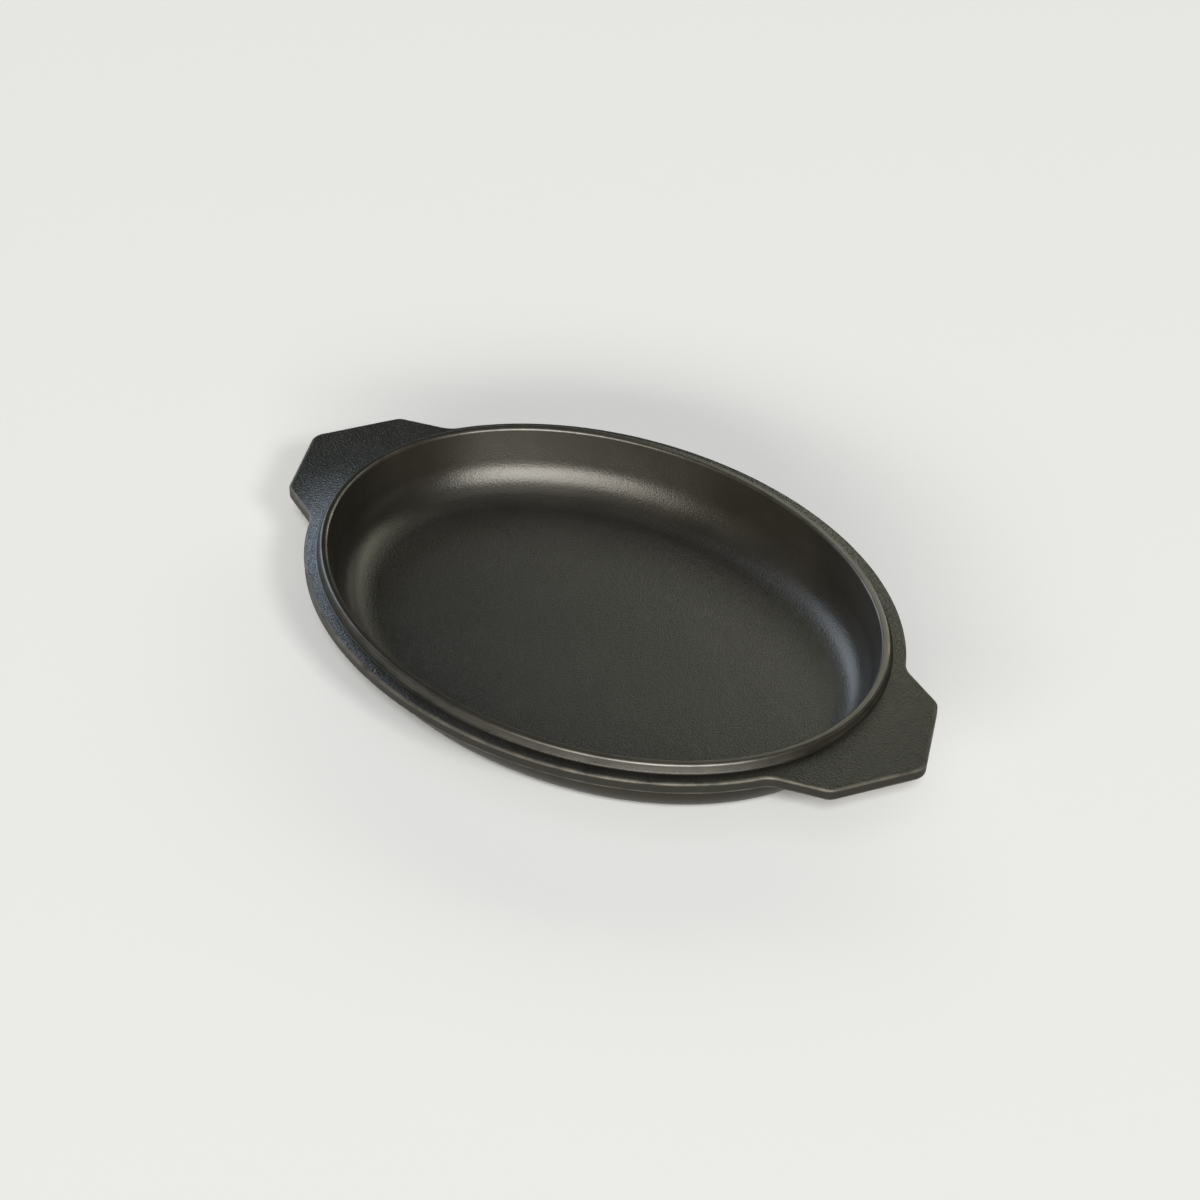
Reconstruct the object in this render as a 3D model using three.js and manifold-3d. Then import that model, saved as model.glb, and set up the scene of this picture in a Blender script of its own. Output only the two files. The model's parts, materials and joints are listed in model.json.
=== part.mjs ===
// Oval cast-iron pan of a dutch oven: one casting with a satin enamel coat inside and outside.
// Millimetres, +Z up. The pan stands on Z = 0, centred on the origin, with its long axis on X.
import * as THREE from 'three';
import { mergeVertices } from 'three/addons/utils/BufferGeometryUtils.js';
import Module from 'manifold-3d';

// Rim and handles, seen from above
const handleSpan = 330; // handle tip to handle tip, before the tips are rounded
const rimLength = 272; // oval rim along X
const rimWidth = 204; // oval rim along Y
const handleRootWidth = 85.4; // tab handle where it leaves the rim
const handleShoulderWidth = 68; // tab handle at its two shoulders
const handlePointLength = 19; // from the shoulders out to the tip
const handleRootFillet = 13;
const handleCornerRound = 7;

// Heights and sections
const ledgeHeight = 29.2; // hob face up to the lid ledge
const rimThickness = 5.3; // rim flange and handles
const edgeRound = 1; // round along the flange's and handles' edges
const rootFillet = 3; // under the flange, where it meets the outside wall
const wallThickness = 4.5;
const floorThickness = 4.2;
const wallDraft = THREE.MathUtils.degToRad(9.5);
const insideCornerRadius = 17; // where the inside wall runs into the floor

// Locating lip that stands up inside the lid ledge
const lipHeight = 3.9;
const lipTopWidth = 3.1;
const lipLean = 1.2; // how far its outer side leans in over its height
const ledgeWidth = 5.6; // rim edge in to the lip's outer side
const lipRound = 1.2;
const lipFootFillet = 1;

// Enamel coats
const enamelThickness = 0.4;
const bondGap = 0.05; // between each coat and the iron
const footHeight = 1.5; // bare ground foot under the outside coat

// Smoothness of the curves
const ovalSegments = 64;
const rimSideSegments = 26;
const edgeRoundSegments = 3;
const largeArcStep = THREE.MathUtils.degToRad(12);
const smallArcStep = THREE.MathUtils.degToRad(30);
const largeArcRadius = 5;
const weldDistance = 1e-4;

// Heights that follow
const lipTop = ledgeHeight + lipHeight;
const flangeUnderside = ledgeHeight - rimThickness;
const flangeMiddle = ledgeHeight - rimThickness / 2;
const exteriorTop = flangeUnderside - rootFillet;
const recess = enamelThickness + bondGap;

// Distances inwards from the rim oval that follow
const lipOuterInset = ledgeWidth + lipLean;
const lipInnerInset = lipOuterInset + lipTopWidth;
const insideInset = (height) => lipInnerInset + (lipTop - height) * Math.tan(wallDraft);
const outsideInset = (height) => insideInset(height) - wallThickness / Math.cos(wallDraft);
const lipSideInset = (height) => ledgeWidth + ((height - ledgeHeight) * lipLean) / lipHeight;
const poleInset = Math.min(rimLength, rimWidth) / 2; // stands for the middle of the pan

const wasm = await Module();
wasm.setup();

// A profile point: x is the distance out from the rim oval, so every point inside the rim is negative.
const point = (inset, height) => new THREE.Vector2(-inset, height);

// Replaces each corner that has a radius by an arc tangent to its two sides.
function roundCorners(corners) {
  return corners.flatMap(({ at, radius }, index) => {
    if (!radius) return [at];
    const before = corners.at(index - 1).at;
    const after = corners[(index + 1) % corners.length].at;
    const back = before.clone().sub(at).normalize();
    const ahead = after.clone().sub(at).normalize();
    const half = back.angleTo(ahead) / 2;
    const towardsCentre = back.clone().add(ahead).normalize();
    const centre = at.clone().addScaledVector(towardsCentre, radius / Math.sin(half));
    const first = at.clone().addScaledVector(back, radius / Math.tan(half)).sub(centre);
    const sweep = Math.sign(ahead.cross(back)) * (Math.PI - 2 * half);
    const step = radius > largeArcRadius ? largeArcStep : smallArcStep;
    const count = Math.max(2, Math.ceil(Math.abs(sweep) / step));
    const origin = new THREE.Vector2();
    return Array.from({ length: count + 1 }, (_, k) =>
      first.clone().rotateAround(origin, (sweep * k) / count).add(centre)
    );
  });
}

// Moves a row of points to the right of its direction of travel, each side staying parallel to itself.
function offset(points, distance) {
  const normals = points.slice(1).map((end, k) => {
    const along = end.clone().sub(points[k]).normalize();
    return new THREE.Vector2(along.y, -along.x);
  });
  return points.map((spot, k) => {
    const one = normals[Math.max(k - 1, 0)];
    const two = normals[Math.min(k, normals.length - 1)];
    return spot.clone().addScaledVector(one.clone().add(two), distance / (1 + one.dot(two)));
  });
}

// Cuts a rising row of points in two at a height.
function cutAt(points, height) {
  const above = points.findIndex((spot) => spot.y > height);
  const [low, high] = points.slice(above - 1, above + 1);
  const cut = low.clone().lerp(high, (height - low.y) / (high.y - low.y));
  return [
    [...points.slice(0, above), cut],
    [cut, ...points.slice(above)],
  ];
}

// Shortens a row of points at its last end by the bond gap.
function easeEnd(points) {
  const last = points.at(-1);
  const back = points.at(-2).clone().sub(last).normalize();
  return [...points.slice(0, -1), last.clone().addScaledVector(back, bondGap)];
}

const easeBothEnds = (points) => easeEnd(easeEnd(points).reverse()).reverse();

// A point of the rim oval at a station round it, moved out along the oval's normal.
function ovalPoint(station, out) {
  const angle = (station / ovalSegments) * 2 * Math.PI;
  const spot = new THREE.Vector2((rimLength / 2) * Math.cos(angle), (rimWidth / 2) * Math.sin(angle));
  const normal = new THREE.Vector2((rimWidth / 2) * Math.cos(angle), (rimLength / 2) * Math.sin(angle));
  return spot.addScaledVector(normal.normalize(), out);
}

// Carries a profile round the rim oval at a constant inset: a lathe turned on a circle, then moved onto the oval.
function sweepRoundOval(profile) {
  const turned = profile.map((spot) => new THREE.Vector2(spot.x + poleInset, spot.y));
  const geometry = new THREE.LatheGeometry(turned, ovalSegments);
  const position = geometry.getAttribute('position');
  for (let index = 0; index < position.count; index++) {
    const station = Math.floor(index / profile.length) % ovalSegments;
    const spot = profile[index % profile.length];
    const isPole = spot.x === -poleInset;
    const place = isPole ? new THREE.Vector2() : ovalPoint(station, spot.x);
    position.setXYZ(index, place.x, place.y, spot.y);
  }
  return geometry;
}

// Turns a closed geometry into a solid that can be joined.
function solidOf(geometry) {
  geometry.deleteAttribute('normal');
  geometry.deleteAttribute('uv');
  const welded = mergeVertices(geometry, weldDistance);
  const corners = Array.from(welded.getIndex().array);
  const triangles = [];
  for (let k = 0; k < corners.length; k += 3) {
    const [a, b, c] = corners.slice(k, k + 3);
    if (a !== b && b !== c && c !== a) triangles.push(a, b, c);
  }
  const vertProperties = new Float32Array(welded.getAttribute('position').array);
  return new wasm.Manifold(new wasm.Mesh({ numProp: 3, vertProperties, triVerts: new Uint32Array(triangles) }));
}

function namedMesh(name, solid, finish) {
  const { vertProperties, triVerts } = solid.getMesh();
  const geometry = new THREE.BufferGeometry();
  geometry.setAttribute('position', new THREE.BufferAttribute(vertProperties, 3));
  geometry.setIndex(new THREE.BufferAttribute(triVerts, 1));
  geometry.computeVertexNormals();
  const mesh = new THREE.Mesh(geometry, new THREE.MeshStandardMaterial(finish));
  mesh.name = name;
  return mesh;
}

// Finished inside surface, from the middle of the floor up the wall and over the lip to just above its foot
const coatedLipFoot = ledgeHeight + lipFootFillet;
const finishedInside = roundCorners([
  { at: point(poleInset, floorThickness) },
  { at: point(insideInset(floorThickness), floorThickness), radius: insideCornerRadius },
  { at: point(lipInnerInset, lipTop), radius: lipRound },
  { at: point(lipOuterInset, lipTop), radius: lipRound },
  { at: point(lipSideInset(coatedLipFoot), coatedLipFoot) },
]);

// Finished outside surface, from the middle of the hob face up the wall and into the fillet under the flange
const finishedOutside = roundCorners([
  { at: point(poleInset, 0) },
  { at: point(outsideInset(0), 0), radius: insideCornerRadius + wallThickness },
  { at: point(outsideInset(flangeUnderside), flangeUnderside), radius: rootFillet },
  { at: point(0, flangeUnderside) },
]).slice(0, -1);
const [groundFoot, aboveFoot] = cutAt(finishedOutside, footHeight);
const [coatedWall, flangeRoot] = cutAt(aboveFoot, exteriorTop);

// Concave fillet at the lip's foot, from the ledge up to the lip's outer side
const lipFoot = roundCorners([
  { at: point(0, ledgeHeight) },
  { at: point(ledgeWidth, ledgeHeight), radius: lipFootFillet },
  { at: point(lipOuterInset, lipTop) },
]).slice(1, -1);

// Bowl and lip in iron, cut back by the coat's thickness wherever a coat lies on it
function bowlSolid() {
  return solidOf(
    sweepRoundOval([
      ...groundFoot,
      ...offset(coatedWall, -recess),
      ...flangeRoot,
      new THREE.Vector2(flangeRoot.at(-1).x, flangeMiddle),
      new THREE.Vector2(lipFoot[0].x, flangeMiddle),
      ...lipFoot,
      finishedInside.at(-1),
      ...offset(finishedInside, recess).reverse(),
    ])
  );
}

// Outline of the rim from above: the oval, with a pointed tab handle let into each end
function rimOutline() {
  const rootAngle = Math.asin(handleRootWidth / rimWidth);
  const rootX = (rimLength / 2) * Math.cos(rootAngle);
  const shoulderX = handleSpan / 2 - handlePointLength;
  const corner = (x, y, radius) => ({ at: new THREE.Vector2(x, y), radius });
  const handle = [
    corner(rootX, -handleRootWidth / 2, handleRootFillet),
    corner(shoulderX, -handleShoulderWidth / 2, handleCornerRound),
    corner(handleSpan / 2, 0, handleCornerRound),
    corner(shoulderX, handleShoulderWidth / 2, handleCornerRound),
    corner(rootX, handleRootWidth / 2, handleRootFillet),
  ];
  const side = new THREE.EllipseCurve(0, 0, rimLength / 2, rimWidth / 2, rootAngle, Math.PI - rootAngle)
    .getPoints(rimSideSegments)
    .slice(1, -1)
    .map((at) => ({ at }));
  const half = [...handle, ...side];
  const otherHalf = half.map(({ at, radius }) => ({ at: at.clone().negate(), radius }));
  return roundCorners([...half, ...otherHalf]);
}

// Rim flange with both handles: one plate with rounded edges, open in the middle, its inner edge inside the bowl's wall
function rimSolid() {
  const wallMiddleInset = (insideInset(flangeMiddle) + outsideInset(flangeMiddle)) / 2;
  const opening = Array.from({ length: ovalSegments }, (_, station) =>
    ovalPoint(station, -wallMiddleInset - edgeRound / 2)
  );
  const shape = new THREE.Shape(rimOutline());
  shape.holes.push(new THREE.Path(opening));
  const geometry = new THREE.ExtrudeGeometry(shape, {
    depth: rimThickness - 2 * edgeRound,
    bevelThickness: edgeRound,
    bevelSize: edgeRound,
    bevelOffset: -edgeRound,
    bevelSegments: edgeRoundSegments,
  });
  geometry.translate(0, 0, flangeUnderside + edgeRound);
  return solidOf(geometry);
}

// Coat over the floor, the inside wall and the lip
function interiorEnamelSolid() {
  const finished = easeEnd(finishedInside);
  return solidOf(sweepRoundOval([...offset(finished, enamelThickness), ...finished.reverse()]));
}

// Coat on the outside wall, a closed band between the ground foot and the flange
function exteriorEnamelSolid() {
  const finished = easeBothEnds(coatedWall);
  const back = offset(finished, -enamelThickness).reverse();
  return solidOf(sweepRoundOval([...finished, ...back, finished[0]]));
}

const castIron = { color: 0x3c3c38, roughness: 0.62, metalness: 0.55 };
const insideEnamel = { color: 0x3a3a35, roughness: 0.42, metalness: 0.2 };
const outsideEnamel = { color: 0x46433d, roughness: 0.45, metalness: 0.2 };

const pan = new THREE.Group();
pan.add(
  namedMesh('pan_casting', bowlSolid().add(rimSolid()), castIron),
  namedMesh('interior_enamel', interiorEnamelSolid(), insideEnamel),
  namedMesh('exterior_enamel', exteriorEnamelSolid(), outsideEnamel)
);

export default pan;
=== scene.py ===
import json
import math
from collections import namedtuple

import bpy
from mathutils import Matrix, Vector


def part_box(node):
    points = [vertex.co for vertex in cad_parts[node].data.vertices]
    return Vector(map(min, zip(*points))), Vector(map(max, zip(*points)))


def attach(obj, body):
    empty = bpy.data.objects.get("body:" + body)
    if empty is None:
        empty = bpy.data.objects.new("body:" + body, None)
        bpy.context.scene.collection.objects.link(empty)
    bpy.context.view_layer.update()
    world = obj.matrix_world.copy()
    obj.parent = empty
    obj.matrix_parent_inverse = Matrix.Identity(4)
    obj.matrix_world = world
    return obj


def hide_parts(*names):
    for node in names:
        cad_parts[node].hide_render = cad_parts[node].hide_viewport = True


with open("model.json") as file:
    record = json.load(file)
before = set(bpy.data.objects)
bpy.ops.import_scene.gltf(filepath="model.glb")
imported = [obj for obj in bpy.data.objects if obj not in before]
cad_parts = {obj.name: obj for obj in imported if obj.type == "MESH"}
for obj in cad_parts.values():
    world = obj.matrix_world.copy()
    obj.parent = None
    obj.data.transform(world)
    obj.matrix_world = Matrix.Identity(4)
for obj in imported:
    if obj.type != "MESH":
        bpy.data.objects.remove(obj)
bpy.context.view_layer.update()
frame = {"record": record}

MM = 0.001

# Rim and handles, seen from above
casting_low, casting_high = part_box("pan_casting")
rim_width = casting_high.y - casting_low.y
rim_length = 272 * MM
handle_span = 330 * MM
handle_root_width = 85.4 * MM
handle_shoulder_width = 68 * MM
handle_point_length = 19 * MM
handle_root_fillet = 13 * MM
handle_corner_round = 7 * MM

# Heights and sections
mounts = {mount["name"]: mount for mount in frame["record"]["mounts"]}
ledge_height = mounts["lid_ledge"]["pos_m"][2]
lip_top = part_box("interior_enamel")[1].z
rim_thickness = 5.3 * MM
edge_round = 1 * MM
root_fillet = 3 * MM
wall_thickness = 4.5 * MM
floor_thickness = 4.2 * MM
wall_draft = math.radians(9.5)
inside_corner_radius = 17 * MM

# Locating lip inside the lid ledge
lip_height = lip_top - ledge_height
lip_top_width = 3.1 * MM
lip_lean = 1.2 * MM
ledge_width = 5.6 * MM
lip_round = 1.2 * MM
lip_foot_fillet = 1 * MM

# Enamel coats
enamel_thickness = 0.4 * MM
bond_gap = 0.05 * MM
foot_height = 1.5 * MM

# Sand-cast iron
iron_dark = (0.004, 0.004, 0.003, 1)
iron_light = (0.007, 0.0068, 0.0055, 1)
ground_iron = (0.0035, 0.0030, 0.0008, 1)
bare_iron = (0.16, 0.152, 0.138, 1)
iron_roughness = 0.36
iron_roughness_spread = 0.06
iron_gloss = 0.38
iron_grain_size = 0.95 * MM
iron_relief = 0.16 * MM
iron_shade_size = 18 * MM
iron_pit_spacing = 4 * MM
iron_pit_size = 0.8 * MM
iron_edge_wear = 0.45
bare_iron_polish = 0.1
ground_side_falloff = 6.0
ground_side_roughness = 0.12
grain_ground_off = 0.85
lip_foot_fettling = 0.8

# Satin enamel inside
wall_dark = (0.008, 0.0073, 0.0060, 1)
wall_light = (0.0122, 0.0111, 0.0090, 1)
bowl_floor_dark = (0.010, 0.0095, 0.0086, 1)
bowl_floor_light = (0.013, 0.0124, 0.0114, 1)
rubbed_enamel = (0.030, 0.028, 0.024, 1)
wall_roughness = 0.3
inside_roughness_spread = 0.04
bowl_floor_extra_roughness = 0.07
rubbed_coat_roughness = 0.25
inside_edge_wear = 0.6
inside_relief = 0.1 * MM
pebble_size = 0.8 * MM
pebbled_floor = 0.6
pebbled_bowl = 0.4
inside_ripple_size = 2.4 * MM
inside_ripple = 0.12
inside_shade_size = 35 * MM
inside_pit_spacing = 4.5 * MM
inside_pit_size = 0.7 * MM
floor_finish_low = floor_thickness + 0.2 * MM
floor_finish_high = floor_thickness + 2.5 * MM

# Satin enamel outside
outside_dark = (0.010, 0.0088, 0.0066, 1)
outside_light = (0.014, 0.0123, 0.0094, 1)
outside_roughness = 0.36
outside_roughness_spread = 0.05
outside_gloss = 0.11
outside_relief = 0.008 * MM
outside_ripple_size = 2.2 * MM
outside_shade_size = 25 * MM

# Grain, pits and wear on iron and enamel
sand_tooth = 0.5
ripple_tooth = 0.3
tooth_fineness = 2.3
# Pits are painted darker than the surface round them: painted shade in the hollows
pit_shade_colour = (0.004, 0.004, 0.004, 1)
wear_patch_size = 9 * MM

# Studio
studio_floor_half = 6.0
studio_floor_colour = (0.5, 0.5, 0.5, 1)
studio_floor_roughness = 0.9
sky_colour = (0.8, 0.92, 1.0)
sky_strength = 0.02
camera_azimuth = 41.291
camera_elevation = 38.560
camera_distance = 1247.2 * MM
camera_target = Vector((4.584, -4.555, 29.2)) * MM
camera_lens = 92.27
camera_sensor = 36

# Smoothness of the curves
oval_step = math.radians(1)
root_step = math.radians(3)
side_step = 1.6 * MM
large_arc_step = math.radians(5)
small_arc_step = math.radians(13)
large_arc_radius = 5 * MM
guard = 0.25 * MM
middle_shares = (1.0, 0.6, 0.25)
guide_oval_points = 4096
weld_distance = 0.001 * MM
sharp_angle = math.radians(50)

# Heights and insets that follow
flange_underside = ledge_height - rim_thickness
exterior_top = flange_underside - root_fillet
recess = enamel_thickness + bond_gap
lip_outer_inset = ledge_width + lip_lean
lip_inner_inset = lip_outer_inset + lip_top_width
coated_lip_foot = ledge_height + lip_foot_fillet
outside_corner_radius = inside_corner_radius + wall_thickness


def inside_inset(height):
    return lip_inner_inset + (lip_top - height) * math.tan(wall_draft)


def outside_inset(height):
    return inside_inset(height) - wall_thickness / math.cos(wall_draft)


def lip_side_inset(height):
    return ledge_width + (height - ledge_height) * lip_lean / lip_height


# Profiles

def spot(inset, height):
    """A profile point: x is the distance out from the rim oval, y the height."""
    return Vector((-inset, height))


def round_corners(corners, guarded=True):
    """A row of points in which each corner with a radius becomes an arc between two guard points."""
    row = []
    for index, (at, radius) in enumerate(corners):
        if radius == 0:
            row.append(at)
            continue
        back = (corners[index - 1][0] - at).normalized()
        ahead = (corners[(index + 1) % len(corners)][0] - at).normalized()
        half = back.angle(ahead) / 2
        centre = at + (back + ahead).normalized() * (radius / math.sin(half))
        first = at + back * (radius / math.tan(half))
        last = at + ahead * (radius / math.tan(half))
        sweep = math.copysign(math.pi - 2 * half, ahead.cross(back))
        step = large_arc_step if radius > large_arc_radius else small_arc_step
        count = max(3, math.ceil(abs(sweep) / step))
        turns = [Matrix.Rotation(sweep * k / count, 2) for k in range(count + 1)]
        arc = [centre + turn @ (first - centre) for turn in turns]
        row += [first + back * guard, *arc, last + ahead * guard] if guarded else arc
    return row


def offset(points, distance):
    """The row moved to the right of its direction of travel, each side staying parallel to itself."""
    sides = [(end - start).normalized() for start, end in zip(points, points[1:])]
    normals = [Vector((side.y, -side.x)) for side in sides]
    moved = []
    for index, at in enumerate(points):
        one = normals[max(index - 1, 0)]
        two = normals[min(index, len(normals) - 1)]
        moved.append(at + (one + two) * (distance / (1 + one.dot(two))))
    return moved


def cut_at(points, height):
    """A rising row of points cut in two at a height."""
    above = next(index for index, at in enumerate(points) if at.y > height)
    low, high = points[above - 1], points[above]
    cut = low.lerp(high, (height - low.y) / (high.y - low.y))
    return [*points[:above], cut], [cut, *points[above:]]


def ease_end(points):
    """The row shortened by the bond gap at its last end."""
    back = (points[-2] - points[-1]).normalized()
    return [*points[:-1], points[-1] + back * bond_gap]


def ease_both_ends(points):
    return ease_end(ease_end(points)[::-1])[::-1]


flat_inset = inside_inset(floor_thickness) + inside_corner_radius

# Finished inside surface, from the flat floor up the wall and over the lip to just above its foot
finished_inside = round_corners([
    (spot(flat_inset, floor_thickness), 0),
    (spot(inside_inset(floor_thickness), floor_thickness), inside_corner_radius),
    (spot(lip_inner_inset, lip_top), lip_round),
    (spot(lip_outer_inset, lip_top), lip_round),
    (spot(lip_side_inset(coated_lip_foot), coated_lip_foot), 0),
])

# Finished outside surface, from the flat hob face up the wall and into the fillet under the flange
finished_outside = round_corners([
    (spot(flat_inset, 0), 0),
    (spot(outside_inset(0), 0), outside_corner_radius),
    (spot(outside_inset(flange_underside), flange_underside), root_fillet),
    (spot(0, flange_underside), 0),
])[:-1]
ground_foot, above_foot = cut_at(finished_outside, foot_height)
coated_wall, flange_root = cut_at(above_foot, exterior_top)

# Fillet at the lip's foot, from the ledge up to the lip's outer side
lip_foot = round_corners([
    (spot(0, ledge_height), 0),
    (spot(ledge_width, ledge_height), lip_foot_fillet),
    (spot(lip_outer_inset, lip_top), 0),
])[1:-2]

# Edge of the flange and of the handles, measured from their own outline, up to the flat faces beside it
beside_edge = edge_round * 3
flange_edge = round_corners([
    (spot(beside_edge, flange_underside), 0),
    (spot(0, flange_underside), edge_round),
    (spot(0, ledge_height), edge_round),
    (spot(beside_edge, ledge_height), 0),
])[1:-1]


def rim_outline():
    """The rim from above: the oval, with a pointed tab handle let into each end."""
    root_angle = math.asin(handle_root_width / rim_width)
    root_x = rim_length / 2 * math.cos(root_angle)
    shoulder_x = handle_span / 2 - handle_point_length
    handle = [
        (Vector((root_x, -handle_root_width / 2)), handle_root_fillet),
        (Vector((shoulder_x, -handle_shoulder_width / 2)), handle_corner_round),
        (Vector((handle_span / 2, 0)), handle_corner_round),
        (Vector((shoulder_x, handle_shoulder_width / 2)), handle_corner_round),
        (Vector((root_x, handle_root_width / 2)), handle_root_fillet),
    ]
    first_angle = root_angle + root_step
    sweep_angle = math.pi - 2 * first_angle
    count = math.ceil(sweep_angle / oval_step)
    side = []
    for k in range(count + 1):
        angle = first_angle + sweep_angle * k / count
        side.append((Vector((rim_length / 2 * math.cos(angle), rim_width / 2 * math.sin(angle))), 0))
    half = handle + side
    corners = round_corners(half + [(-at, radius) for at, radius in half], guarded=False)
    outline = []
    for at, after in zip(corners, corners[1:] + corners[:1]):
        steps = max(1, round((after - at).length / side_step))
        outline += [at.lerp(after, k / steps) for k in range(steps)]
    return outline


# Rows of a sweep

# A point, its share of the way to the middle, whether it follows the outline, and how far it was ground
Row = namedtuple("Row", "at to_middle on_outline fettled")


def flat_to_middle(at):
    """Rings that close a flat face, from its edge in to the middle of the pan."""
    return [Row(at, share, 0.0, 0.0) for share in middle_shares[::-1]]


def round_oval(points, fettled=0.0):
    """Rows that follow the oval."""
    return [Row(at, 0.0, 0.0, fettled) for at in points]


def round_outline(points):
    """Rows along the handles and the flange, ground smooth except at both ends."""
    ends = (points[0], points[-1])
    return [Row(at, 0.0, 1.0, 0.0 if at in ends else 1.0) for at in points]


def polyline(name, points, closed):
    """A mesh of edges only, through the points in order."""
    edges = [(k, k + 1) for k in range(len(points) - 1)]
    if closed:
        edges.append((len(points) - 1, 0))
    mesh = bpy.data.meshes.new(name)
    mesh.from_pydata([(at.x, at.y, 0) for at in points], edges, [])
    made = bpy.data.objects.new(name, mesh)
    bpy.context.scene.collection.objects.link(made)
    return made


def edge_share(before, at, after):
    """1 on a convex edge as tight as the rim's, 0 on flat and hollow places."""
    one, two = at - before, after - at
    if min(one.length, two.length) < weld_distance:
        return 0.0
    turn = math.atan2(one.cross(two), one.dot(two))
    return min(max(turn * edge_round * 2 / (one.length + two.length), 0.0), 1.0)


def profile_line(name, rows, closed=False):
    """A profile that carries its own sizes as attributes for the sweep."""
    points = [row.at for row in rows]
    made = polyline(name, points, closed)
    threes = zip(points[-1:] + points, points, points[1:] + points[:1])
    columns = {
        "reach": [at.x for at in points],
        "height": [at.y for at in points],
        "to_middle": [row.to_middle for row in rows],
        "on_outline": [row.on_outline for row in rows],
        "fettled": [row.fettled for row in rows],
        "edge": [edge_share(*three) for three in threes],
    }
    for column, values in columns.items():
        made.data.attributes.new(column, "FLOAT", "POINT").data.foreach_set("value", values)
    return made


# Node helpers

def add_node(tree, kind, inputs=None, **settings):
    """A node with its settings, its constants and its links in one place."""
    made = tree.nodes.new(kind)
    for name, value in settings.items():
        setattr(made, name, value)
    for name, value in (inputs or {}).items():
        if isinstance(value, bpy.types.NodeSocket):
            tree.links.new(value, made.inputs[name])
        else:
            made.inputs[name].default_value = value
    return made


def math_node(tree, operation, *values):
    inputs = dict(enumerate(values))
    return add_node(tree, "ShaderNodeMath", inputs, operation=operation).outputs["Value"]


def vector_node(tree, operation, *values):
    inputs = dict(enumerate(values))
    return add_node(tree, "ShaderNodeVectorMath", inputs, operation=operation).outputs["Vector"]


def scaled(tree, vector, factor):
    inputs = {0: vector, "Scale": factor}
    return add_node(tree, "ShaderNodeVectorMath", inputs, operation="SCALE").outputs["Vector"]


# The mix node gives its sockets the same names for every kind of value, so they go by number
mix_sockets = {"VECTOR": (4, 5, 1), "RGBA": (6, 7, 2)}


def mixed(tree, kind, amount, first, second):
    one, two, result = mix_sockets[kind]
    inputs = {0: amount, one: first, two: second}
    return add_node(tree, "ShaderNodeMix", inputs, data_type=kind).outputs[result]


# Sweep of a profile round the oval, with its rim carried out to the handles

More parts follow.
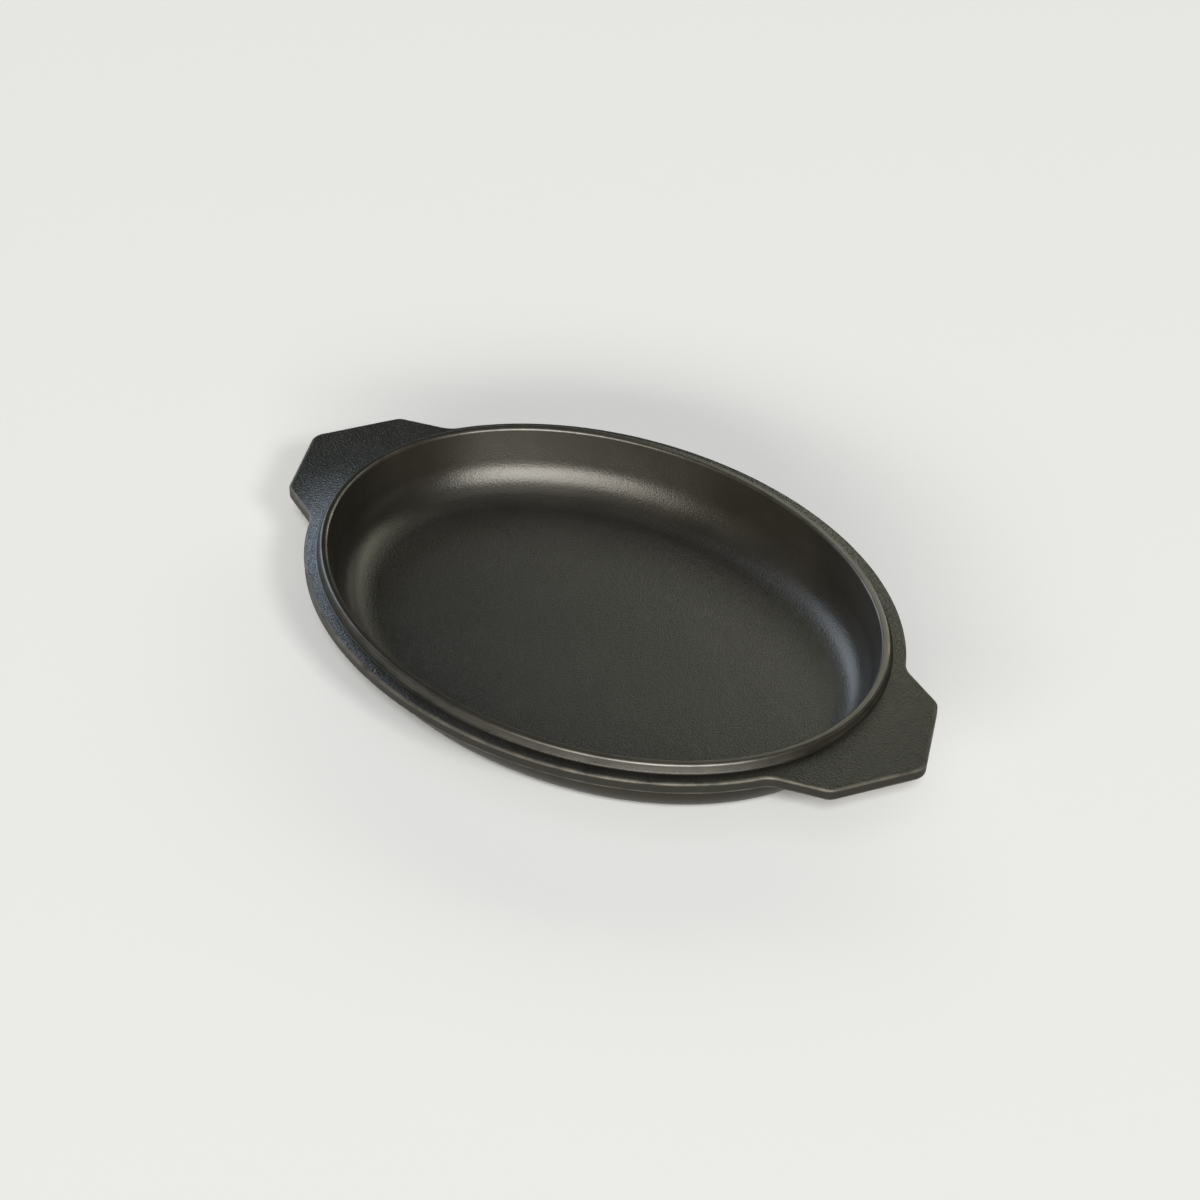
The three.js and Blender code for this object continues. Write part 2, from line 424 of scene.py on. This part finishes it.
def oval_sweep_tree():
    tree = bpy.data.node_groups.new("oval_sweep", "GeometryNodeTree")
    sockets = {}
    for name, kind in [
        ("Profile", "NodeSocketGeometry"),
        ("Outline", "NodeSocketObject"),
        ("Rim Length", "NodeSocketFloat"),
        ("Rim Width", "NodeSocketFloat"),
        ("Finish", "NodeSocketMaterial"),
    ]:
        sockets[name] = tree.interface.new_socket(name, in_out="INPUT", socket_type=kind).identifier
    tree.interface.new_socket("Swept", in_out="OUTPUT", socket_type="NodeSocketGeometry")
    given = add_node(tree, "NodeGroupInput").outputs

    def stored(geometry, name, kind, value):
        inputs = {"Geometry": geometry, "Name": name, "Value": value}
        node = add_node(tree, "GeometryNodeStoreNamedAttribute", inputs, data_type=kind, domain="POINT")
        return node.outputs["Geometry"]

    def named(name, kind):
        node = add_node(tree, "GeometryNodeInputNamedAttribute", {"Name": name}, data_type=kind)
        return node.outputs["Attribute"]

    # Rail: every outline point also knows the nearest point of the oval
    outline = add_node(tree, "GeometryNodeObjectInfo", {"Object": given["Outline"]}).outputs["Geometry"]
    rail = add_node(tree, "GeometryNodeMeshToCurve", {"Mesh": outline}).outputs["Curve"]
    place = add_node(tree, "GeometryNodeInputPosition").outputs["Position"]
    tangent = add_node(tree, "GeometryNodeInputTangent").outputs["Tangent"]
    rail = stored(rail, "outline_place", "FLOAT_VECTOR", place)
    outline_out = vector_node(tree, "CROSS_PRODUCT", tangent, (0, 0, 1))
    rail = stored(rail, "outline_out", "FLOAT_VECTOR", outline_out)
    circle = {"Vertices": guide_oval_points, "Radius": 0.5}
    oval = add_node(tree, "GeometryNodeMeshCircle", circle, fill_type="NONE").outputs["Mesh"]
    stretch = {"X": given["Rim Length"], "Y": given["Rim Width"], "Z": 1}
    stretch = add_node(tree, "ShaderNodeCombineXYZ", stretch).outputs["Vector"]
    stretched = {"Geometry": oval, "Scale": stretch}
    oval = add_node(tree, "GeometryNodeTransform", stretched).outputs["Geometry"]
    nearest = add_node(tree, "GeometryNodeProximity", {"Geometry": oval}, target_element="EDGES")
    rail = stored(rail, "oval_place", "FLOAT_VECTOR", nearest.outputs["Position"])
    slope = vector_node(tree, "DIVIDE", named("oval_place", "FLOAT_VECTOR"), stretch)
    slope = vector_node(tree, "DIVIDE", slope, stretch)
    rail = stored(rail, "oval_out", "FLOAT_VECTOR", vector_node(tree, "NORMALIZE", slope))

    # Sweep
    profile = add_node(tree, "GeometryNodeMeshToCurve", {"Mesh": given["Profile"]}).outputs["Curve"]
    swept = {"Curve": rail, "Profile Curve": profile}
    swept = add_node(tree, "GeometryNodeCurveToMesh", swept).outputs["Mesh"]

    def either(oval_value, outline_value):
        return mixed(tree, "VECTOR", named("on_outline", "FLOAT"), oval_value, outline_value)

    start = either(named("oval_place", "FLOAT_VECTOR"), named("outline_place", "FLOAT_VECTOR"))
    outwards = either(named("oval_out", "FLOAT_VECTOR"), named("outline_out", "FLOAT_VECTOR"))
    level = vector_node(tree, "ADD", start, scaled(tree, outwards, named("reach", "FLOAT")))
    level = scaled(tree, level, math_node(tree, "SUBTRACT", 1.0, named("to_middle", "FLOAT")))
    rise = add_node(tree, "ShaderNodeCombineXYZ", {"Z": named("height", "FLOAT")}).outputs["Vector"]
    position = vector_node(tree, "ADD", level, rise)
    placed = {"Geometry": swept, "Position": position}
    swept = add_node(tree, "GeometryNodeSetPosition", placed).outputs["Geometry"]
    welded = {"Geometry": swept, "Distance": weld_distance}
    swept = add_node(tree, "GeometryNodeMergeByDistance", welded).outputs["Geometry"]
    swept = add_node(tree, "GeometryNodeFlipFaces", {"Mesh": swept}).outputs["Mesh"]

    # Smooth shading with true edges, and a clean result
    swept = add_node(tree, "GeometryNodeSetShadeSmooth", {"Geometry": swept}).outputs["Geometry"]
    bend = add_node(tree, "GeometryNodeInputMeshEdgeAngle").outputs["Unsigned Angle"]
    bends = {"A": bend, "B": sharp_angle}
    is_edge = add_node(tree, "FunctionNodeCompare", bends, operation="GREATER_THAN").outputs["Result"]
    edges = {"Geometry": swept, "Selection": is_edge, "Shade Smooth": False}
    swept = add_node(tree, "GeometryNodeSetShadeSmooth", edges, domain="EDGE").outputs["Geometry"]
    spent = ["outline_place", "outline_out", "oval_place", "oval_out"]
    spent += ["on_outline", "to_middle", "reach", "height"]
    for name in spent:
        cleared = {"Geometry": swept, "Name": name}
        swept = add_node(tree, "GeometryNodeRemoveAttribute", cleared).outputs["Geometry"]
    swept = add_node(tree, "GeometryNodeRealizeInstances", {"Geometry": swept}).outputs["Geometry"]
    finished = {"Geometry": swept, "Material": given["Finish"]}
    swept = add_node(tree, "GeometryNodeSetMaterial", finished).outputs["Geometry"]
    add_node(tree, "NodeGroupOutput", {"Swept": swept})
    return tree, sockets


def sweep(name, profile, outline, tree, sockets, finish):
    """The swept piece as a plain mesh, in place of its profile line."""
    modifier = profile.modifiers.new("oval_sweep", "NODES")
    modifier.node_group = tree
    modifier[sockets["Outline"]] = outline
    modifier[sockets["Rim Length"]] = rim_length
    modifier[sockets["Rim Width"]] = rim_width
    modifier[sockets["Finish"]] = finish
    depsgraph = bpy.context.evaluated_depsgraph_get()
    mesh = bpy.data.meshes.new_from_object(profile.evaluated_get(depsgraph), depsgraph=depsgraph)
    profile.modifiers.remove(modifier)
    bpy.data.objects.remove(profile)
    mesh.name = name
    piece = bpy.data.objects.new(name, mesh)
    bpy.context.scene.collection.objects.link(piece)
    return piece


# Shared shader effects

def shader_group(name, inputs, outputs):
    tree = bpy.data.node_groups.new(name, "ShaderNodeTree")
    for label, default in inputs.items():
        socket = tree.interface.new_socket(label, in_out="INPUT", socket_type="NodeSocketFloat")
        socket.default_value = default
    for label in outputs:
        tree.interface.new_socket(label, in_out="OUTPUT", socket_type="NodeSocketFloat")
    given = add_node(tree, "NodeGroupInput").outputs
    place = add_node(tree, "ShaderNodeTexCoord").outputs["Object"]
    return tree, given, place


def painted(tree, name):
    """The value that the sweep left on the surface under a name."""
    return add_node(tree, "ShaderNodeAttribute", attribute_name=name).outputs["Fac"]


def patches(tree, place, size):
    """Cloudy patches over a surface, from 0 to 1."""
    density = math_node(tree, "DIVIDE", 1.0, size)
    cloud = {"Vector": place, "Scale": density, "Detail": 4.0, "Roughness": 0.6}
    cloud = add_node(tree, "ShaderNodeTexNoise", cloud).outputs["Fac"]
    cloud = {"Value": cloud, "From Min": 0.3, "From Max": 0.7}
    return add_node(tree, "ShaderNodeMapRange", cloud).outputs["Result"]


def grain_group():
    """Rounded bumps of one size with finer tooth on them, as sand leaves. Height is about 0 to 1."""
    tree, given, place = shader_group("sand_grain", {"Grain Size": 1 * MM, "Tooth": 0.4}, ["Height"])
    density = math_node(tree, "DIVIDE", 1.0, given["Grain Size"])
    bumps = {"Vector": place, "Scale": density, "Detail": 1.0, "Roughness": 0.5}
    bumps = add_node(tree, "ShaderNodeTexNoise", bumps).outputs["Fac"]
    finer = math_node(tree, "MULTIPLY", density, tooth_fineness)
    fine = {"Vector": place, "Scale": finer, "Detail": 1.0}
    fine = add_node(tree, "ShaderNodeTexNoise", fine).outputs["Fac"]
    fine = math_node(tree, "SUBTRACT", fine, 0.5)
    height = math_node(tree, "MULTIPLY_ADD", fine, given["Tooth"], bumps)
    height = {"Value": height, "From Min": 0.25, "From Max": 0.75}
    height = add_node(tree, "ShaderNodeMapRange", height, clamp=False).outputs["Result"]
    add_node(tree, "NodeGroupOutput", {"Height": height})
    return tree


def pin_hole_group():
    """Sparse round pits: 1 in a pit, 0 around it."""
    tree, given, place = shader_group("pin_holes", {"Spacing": 4 * MM, "Hole Size": 0.6 * MM}, ["Hole"])
    density = math_node(tree, "DIVIDE", 1.0, given["Spacing"])
    cells = add_node(tree, "ShaderNodeTexVoronoi", {"Vector": place, "Scale": density})
    away = math_node(tree, "MULTIPLY", cells.outputs["Distance"], given["Spacing"])
    radius = math_node(tree, "MULTIPLY", given["Hole Size"], 0.5)
    hole = {"Value": away, "From Min": radius, "From Max": 0.0}
    hole = add_node(tree, "ShaderNodeMapRange", hole, interpolation_type="SMOOTHSTEP").outputs["Result"]
    add_node(tree, "NodeGroupOutput", {"Hole": hole})
    return tree


def mottle_group():
    """Slow change of shade over a surface, from 0 to 1."""
    tree, given, place = shader_group("mottle", {"Patch Size": 30 * MM}, ["Shade"])
    add_node(tree, "NodeGroupOutput", {"Shade": patches(tree, place, given["Patch Size"])})
    return tree


def edge_wear_group():
    """Share of a convex edge that is rubbed bright, broken up along its length."""
    tree, given, place = shader_group("edge_wear", {"Patch Size": 10 * MM, "Amount": 0.5}, ["Wear"])
    worn = math_node(tree, "MULTIPLY", painted(tree, "edge"), patches(tree, place, given["Patch Size"]))
    add_node(tree, "NodeGroupOutput", {"Wear": math_node(tree, "MULTIPLY", worn, given["Amount"])})
    return tree


grain = grain_group()
pin_holes = pin_hole_group()
mottle = mottle_group()
edge_wear = edge_wear_group()


def new_material(name):
    material = bpy.data.materials.new(name)
    material.use_nodes = True
    tree = material.node_tree
    tree.nodes.clear()
    shader = tree.nodes.new("ShaderNodeBsdfPrincipled")
    add_node(tree, "ShaderNodeOutputMaterial", {"Surface": shader.outputs["BSDF"]})
    return material, tree, shader


def placed_group(tree, group, values):
    made = add_node(tree, "ShaderNodeGroup", node_tree=group)
    for label, value in values.items():
        made.inputs[label].default_value = value
    return made.outputs[0]


def finish_shader(tree, shader, colour, roughness, height, depth):
    """Links colour and roughness, and a bump of the given depth for a height of 1."""
    tree.links.new(colour, shader.inputs["Base Color"])
    tree.links.new(roughness, shader.inputs["Roughness"])
    bump = add_node(tree, "ShaderNodeBump", {"Height": height, "Distance": depth, "Strength": 1.0})
    tree.links.new(bump.outputs["Normal"], shader.inputs["Normal"])


def cast_iron_material():
    """Charcoal iron with sand grain and pits, its sides ground smooth and its edges rubbed bright."""
    material, tree, shader = new_material("sand_cast_iron")
    sand = placed_group(tree, grain, {"Grain Size": iron_grain_size, "Tooth": sand_tooth})
    pits = placed_group(tree, pin_holes, {"Spacing": iron_pit_spacing, "Hole Size": iron_pit_size})
    shade = placed_group(tree, mottle, {"Patch Size": iron_shade_size})
    worn = placed_group(tree, edge_wear, {"Patch Size": wear_patch_size, "Amount": iron_edge_wear})
    fettled = painted(tree, "fettled")
    ground_side = math_node(tree, "POWER", fettled, ground_side_falloff)
    colour = mixed(tree, "RGBA", shade, iron_dark, iron_light)
    # Painted shade: pits darkened in the base colour
    colour = mixed(tree, "RGBA", pits, colour, pit_shade_colour)
    colour = mixed(tree, "RGBA", ground_side, colour, ground_iron)
    colour = mixed(tree, "RGBA", worn, colour, bare_iron)
    tree.links.new(worn, shader.inputs["Metallic"])
    roughness = math_node(tree, "MULTIPLY_ADD", shade, iron_roughness_spread, iron_roughness)
    roughness = math_node(tree, "MULTIPLY_ADD", worn, -bare_iron_polish, roughness)
    roughness = math_node(tree, "MULTIPLY_ADD", ground_side, ground_side_roughness, roughness)
    height = math_node(tree, "SUBTRACT", sand, pits)
    open_grain = math_node(tree, "MULTIPLY_ADD", fettled, -grain_ground_off, 1.0)
    height = math_node(tree, "MULTIPLY", height, open_grain)
    shader.inputs["Specular IOR Level"].default_value = iron_gloss
    finish_shader(tree, shader, colour, roughness, height, iron_relief)
    return material


def share_below(tree, low, high):
    """1 below the low height inside the pan, 0 above the high one."""
    place = add_node(tree, "ShaderNodeTexCoord").outputs["Object"]
    height = add_node(tree, "ShaderNodeSeparateXYZ", {"Vector": place}).outputs["Z"]
    inputs = {"Value": height, "From Min": high, "From Max": low}
    share = add_node(tree, "ShaderNodeMapRange", inputs, interpolation_type="SMOOTHSTEP")
    return share.outputs["Result"]


def inside_enamel_material():
    """Satin charcoal enamel with a slight ripple, pebbled on the floor and less so up the wall."""
    material, tree, shader = new_material("inside_satin_enamel")
    on_floor = share_below(tree, floor_finish_low, floor_finish_high)
    in_bowl = share_below(tree, floor_thickness + inside_corner_radius, ledge_height)
    pebbles = placed_group(tree, grain, {"Grain Size": pebble_size, "Tooth": sand_tooth})
    pits = placed_group(tree, pin_holes, {"Spacing": inside_pit_spacing, "Hole Size": inside_pit_size})
    ripple = placed_group(tree, grain, {"Grain Size": inside_ripple_size, "Tooth": ripple_tooth})
    shade = placed_group(tree, mottle, {"Patch Size": inside_shade_size})
    worn = placed_group(tree, edge_wear, {"Patch Size": wear_patch_size, "Amount": inside_edge_wear})
    wall_colour = mixed(tree, "RGBA", shade, wall_dark, wall_light)
    floor_colour = mixed(tree, "RGBA", shade, bowl_floor_dark, bowl_floor_light)
    colour = mixed(tree, "RGBA", on_floor, wall_colour, floor_colour)
    # Painted shade: pits on the floor darkened in the base colour; the bump below also dents them
    pits = math_node(tree, "MULTIPLY", pits, on_floor)
    colour = mixed(tree, "RGBA", pits, colour, pit_shade_colour)
    colour = mixed(tree, "RGBA", worn, colour, rubbed_enamel)
    roughness = math_node(tree, "MULTIPLY_ADD", shade, inside_roughness_spread, wall_roughness)
    roughness = math_node(tree, "MULTIPLY_ADD", on_floor, bowl_floor_extra_roughness, roughness)
    tree.links.new(worn, shader.inputs["Coat Weight"])
    shader.inputs["Coat Roughness"].default_value = rubbed_coat_roughness
    pebbled = math_node(tree, "MULTIPLY", in_bowl, pebbled_bowl)
    pebbled = math_node(tree, "MULTIPLY_ADD", on_floor, pebbled_floor, pebbled)
    pebbles = math_node(tree, "MULTIPLY", math_node(tree, "SUBTRACT", pebbles, pits), pebbled)
    height = math_node(tree, "MULTIPLY_ADD", ripple, inside_ripple, pebbles)
    finish_shader(tree, shader, colour, roughness, height, inside_relief)
    return material


def outside_enamel_material():
    """Satin enamel, a little browner, with a slight ripple."""
    material, tree, shader = new_material("outside_satin_enamel")
    ripple = placed_group(tree, grain, {"Grain Size": outside_ripple_size, "Tooth": ripple_tooth})
    shade = placed_group(tree, mottle, {"Patch Size": outside_shade_size})
    colour = mixed(tree, "RGBA", shade, outside_dark, outside_light)
    roughness = math_node(tree, "MULTIPLY_ADD", shade, outside_roughness_spread, outside_roughness)
    shader.inputs["Specular IOR Level"].default_value = outside_gloss
    finish_shader(tree, shader, colour, roughness, ripple, outside_relief)
    return material


# Pieces

iron_rows = [
    *flat_to_middle(ground_foot[0])[::-1],
    *round_oval(ground_foot),
    *round_oval(offset(coated_wall, -recess)),
    *round_oval(flange_root),
    *round_outline(flange_edge),
    *round_oval(lip_foot[:1]),
    *round_oval([*lip_foot[1:], finished_inside[-1]], lip_foot_fettling),
    *round_oval(offset(finished_inside, recess)[::-1]),
    *flat_to_middle(offset(finished_inside, recess)[0]),
]
inside_finish = ease_end(finished_inside)
inside_back = offset(inside_finish, enamel_thickness)
inside_rows = [
    *flat_to_middle(inside_back[0])[::-1],
    *round_oval(inside_back),
    *round_oval(inside_finish[::-1]),
    *flat_to_middle(inside_finish[0]),
]
outside_finish = ease_both_ends(coated_wall)
outside_rows = [
    *round_oval(outside_finish),
    *round_oval(offset(outside_finish, -enamel_thickness)[::-1]),
]

outline = polyline("rim_outline", rim_outline(), closed=True)
tree, sockets = oval_sweep_tree()
pieces = {}
for name, rows, closed, material, node, slot in [
    ("cast_iron_pan", iron_rows, False, cast_iron_material(), "pan_casting", "cast_iron"),
    ("inside_coat", inside_rows, False, inside_enamel_material(), "interior_enamel", "interior_enamel"),
    ("outside_coat", outside_rows, True, outside_enamel_material(), "exterior_enamel", "exterior_enamel"),
]:
    piece = sweep(name, profile_line(name, rows, closed), outline, tree, sockets, material)
    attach(piece, "root")
    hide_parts(node)
    pieces[name] = piece
bpy.data.objects.remove(outline)


# Floor, camera and light

def add_floor():
    half = studio_floor_half
    corners = [(-half, -half, 0), (half, -half, 0), (half, half, 0), (-half, half, 0)]
    mesh = bpy.data.meshes.new("floor")
    mesh.from_pydata(corners, [], [(0, 1, 2, 3)])
    floor = bpy.data.objects.new("floor", mesh)
    bpy.context.scene.collection.objects.link(floor)
    material, tree, shader = new_material("pale_floor")
    shader.inputs["Base Color"].default_value = studio_floor_colour
    shader.inputs["Roughness"].default_value = studio_floor_roughness
    shader.inputs["Specular IOR Level"].default_value = 0.0
    mesh.materials.append(material)
    return floor


def direction(azimuth, elevation):
    """Unit vector towards a place seen from the pan: azimuth 0 is in front, on -Y, and 90 is on +X."""
    turn, rise = math.radians(azimuth), math.radians(elevation)
    return Vector((math.sin(turn) * math.cos(rise), -math.cos(turn) * math.cos(rise), math.sin(rise)))


def aim(made, target):
    made.rotation_euler = (target - made.location).to_track_quat("-Z", "Y").to_euler()


def add_camera():
    data = bpy.data.cameras.new("camera")
    data.sensor_width = camera_sensor
    data.lens = camera_lens
    camera = bpy.data.objects.new("camera", data)
    bpy.context.scene.collection.objects.link(camera)
    camera.location = camera_target + direction(camera_azimuth, camera_elevation) * camera_distance
    aim(camera, camera_target)
    bpy.context.scene.camera = camera


def receivers(name, objects):
    """The objects that a light falls on."""
    lit = bpy.data.collections.new(name)
    for made in objects:
        lit.objects.link(made)
    return lit


def add_softbox(name, lit, azimuth, elevation, distance, spread, power, colour):
    """A soft light at a bearing from the camera's own, as wide and as tall as its spread in degrees."""
    data = bpy.data.lights.new(name, "AREA")
    data.shape = "RECTANGLE"
    data.size, data.size_y = (2 * distance * math.tan(math.radians(angle / 2)) for angle in spread)
    data.energy = power
    data.color = colour
    lamp = bpy.data.objects.new(name, data)
    bpy.context.scene.collection.objects.link(lamp)
    lamp.location = direction(camera_azimuth + azimuth, elevation) * distance
    aim(lamp, Vector((0, 0, 0)))
    lamp.light_linking.receiver_collection = lit


def add_sky():
    world = bpy.data.worlds.new("studio")
    world.use_nodes = True
    world.node_tree.nodes["Background"].inputs["Color"].default_value = (*sky_colour, 1)
    world.node_tree.nodes["Background"].inputs["Strength"].default_value = sky_strength
    bpy.context.scene.world = world


floor = add_floor()
add_camera()
add_sky()

# Lights on the pan: bearing, elevation, distance, spread, power and colour
pan = receivers("pan", pieces.values())
add_softbox("key", pan, 3, 31, 9.0, (38, 33), 1280, (1.0, 0.968, 0.87))
add_softbox("key_low", pan, -9, 11, 9.0, (66, 14), 940, (1.0, 0.947, 0.84))
add_softbox("key_left", pan, -32, 30, 9.0, (30, 34), 530, (1.0, 0.94, 0.82))
add_softbox("top", pan, 0, 75, 4.0, (40, 20), 19, (1.0, 0.97, 0.9))
add_softbox("left_window", pan, -138, 27, 3.0, (30, 28), 30, (0.8, 0.89, 1.0))
add_softbox("back_right", pan, 150, 39, 0.65, (40, 25), 1.1, (1.0, 1.0, 0.8))

# A low light on the coats alone
coats = receivers("coats", [pieces["inside_coat"], pieces["outside_coat"]])
add_softbox("right_low", coats, 140, 13, 3.0, (20, 8), 10, (1.0, 0.84, 0.78))

# Two small lights on the iron alone, close to the ends of the rim
iron = receivers("iron", [pieces["cast_iron_pan"]])
add_softbox("left_rim", iron, -122, 27, 0.158, (14, 12), 0.046, (0.68, 0.8, 1.0))
add_softbox("right_rim", iron, 141, 32, 0.194, (20, 16), 0.031, (1.0, 1.0, 0.82))

# Lights on the floor, for its soft shadows
ground = receivers("ground", [floor])
add_softbox("floor_near", ground, -1, 46.3, 40.0, (10, 8), 13100, (0.967, 0.996, 1.0))
add_softbox("floor_key", ground, 30, 37, 20.0, (12, 10), 2150, (1.0, 1.0, 0.96))
add_softbox("floor_front", ground, -15, 18, 20.0, (64, 12), 6750, (1.0, 0.965, 0.893))
add_softbox("floor_back", ground, 160, 22, 20.0, (80, 20), 2500, (1.0, 0.921, 0.81))
add_softbox("floor_top", ground, 0, 75, 20.0, (60, 50), 815, (0.963, 0.988, 1.0))
bpy.context.scene.view_settings.view_transform = "Standard"
